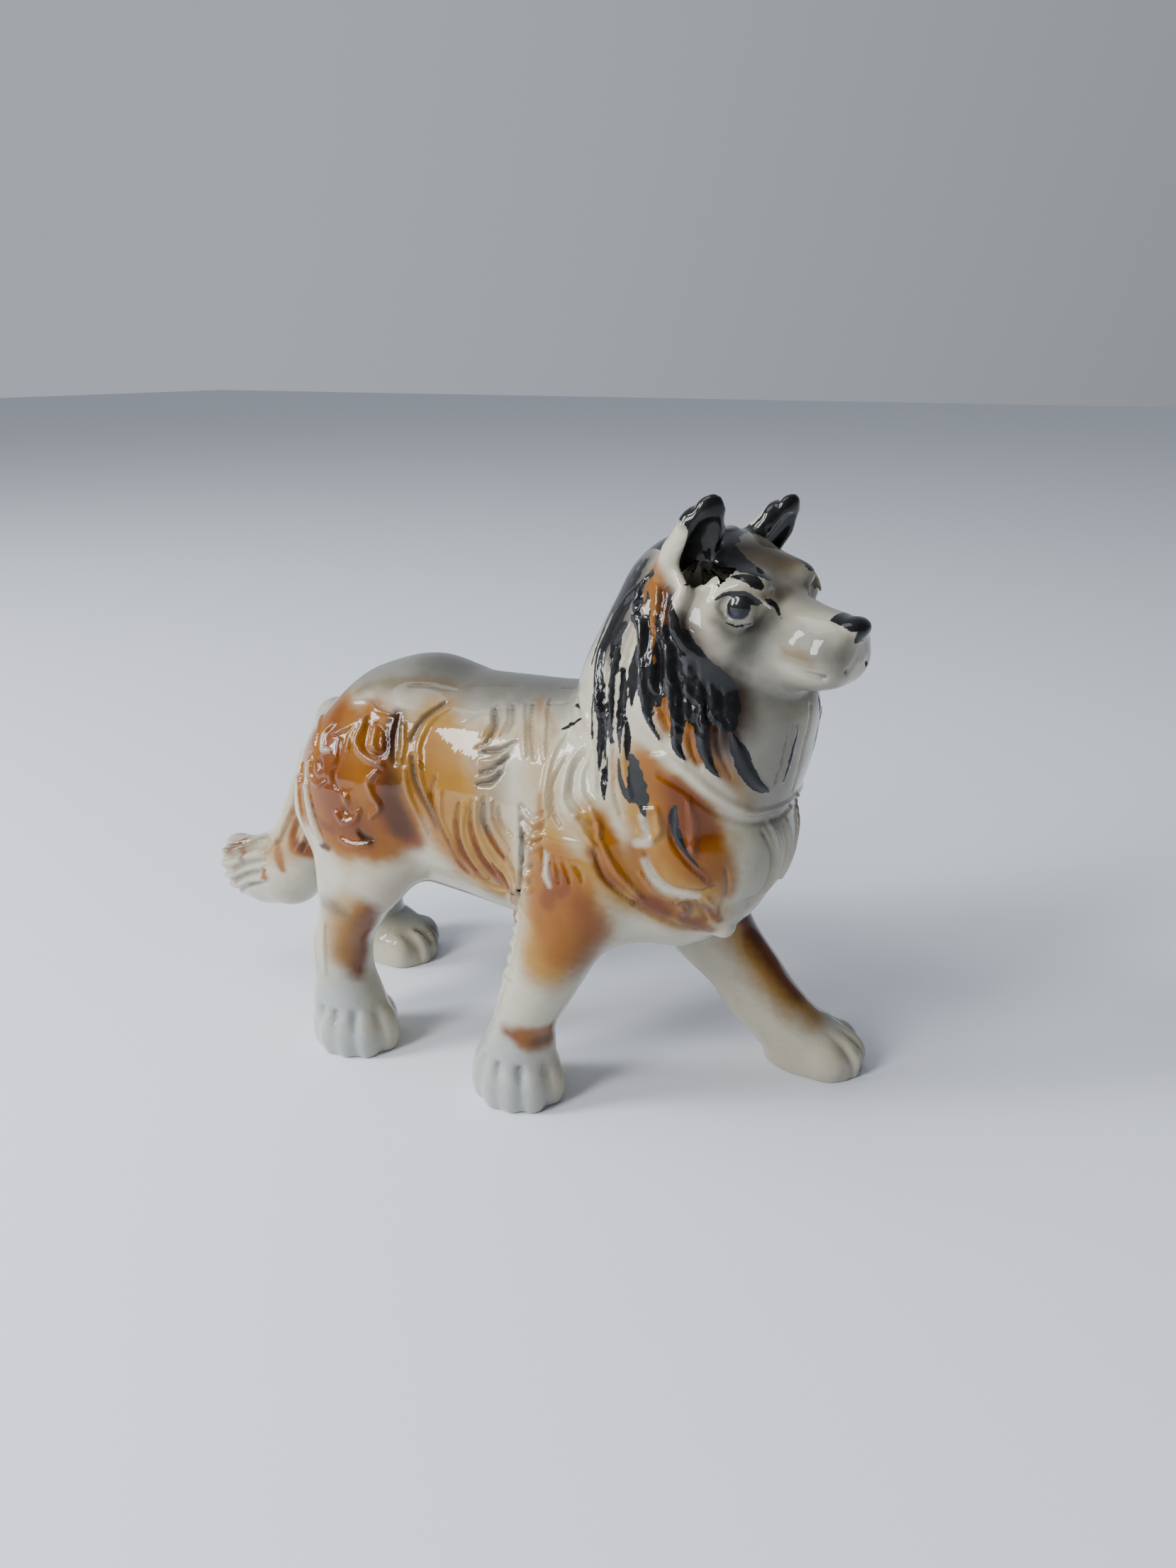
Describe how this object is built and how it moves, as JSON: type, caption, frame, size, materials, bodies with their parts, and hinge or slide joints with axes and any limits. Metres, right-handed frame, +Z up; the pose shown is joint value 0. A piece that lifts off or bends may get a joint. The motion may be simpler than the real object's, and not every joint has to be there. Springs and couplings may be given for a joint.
{
  "type": "porcelain dog figurine",
  "caption": "Glazed slip-cast porcelain figurine of a long-haired collie in mid stride, head turned to its right, standing free on flat soles",
  "frame": {"origin": "on the surface it stands on, under the middle of the whole figurine's bounding box", "axes": "+Z up from the soles; the dog faces -Y, so +Y runs from its chest to its tail; its right side is towards -X"},
  "size_m": [0.0634, 0.1716, 0.1356],
  "materials": {
    "coat_glaze": "glossy",
    "leg_glaze": "glossy",
    "ear_glaze": "glossy",
    "luting_slip": "matte"
  },
  "bodies": {
    "root": {"torso_shell": "coat_glaze", "head_shell": "coat_glaze", "right_ear": "ear_glaze", "left_ear": "ear_glaze", "right_fore_leg": "leg_glaze", "left_fore_leg": "leg_glaze", "right_hind_leg": "leg_glaze", "left_hind_leg": "leg_glaze", "tail": "coat_glaze", "neck_slip_joint": "luting_slip", "right_fore_slip_joint": "luting_slip", "left_fore_slip_joint": "luting_slip", "right_hind_slip_joint": "luting_slip", "left_hind_slip_joint": "luting_slip", "tail_slip_joint": "luting_slip", "right_ear_slip_joint": "luting_slip", "left_ear_slip_joint": "luting_slip"}
  },
  "joints": []
}
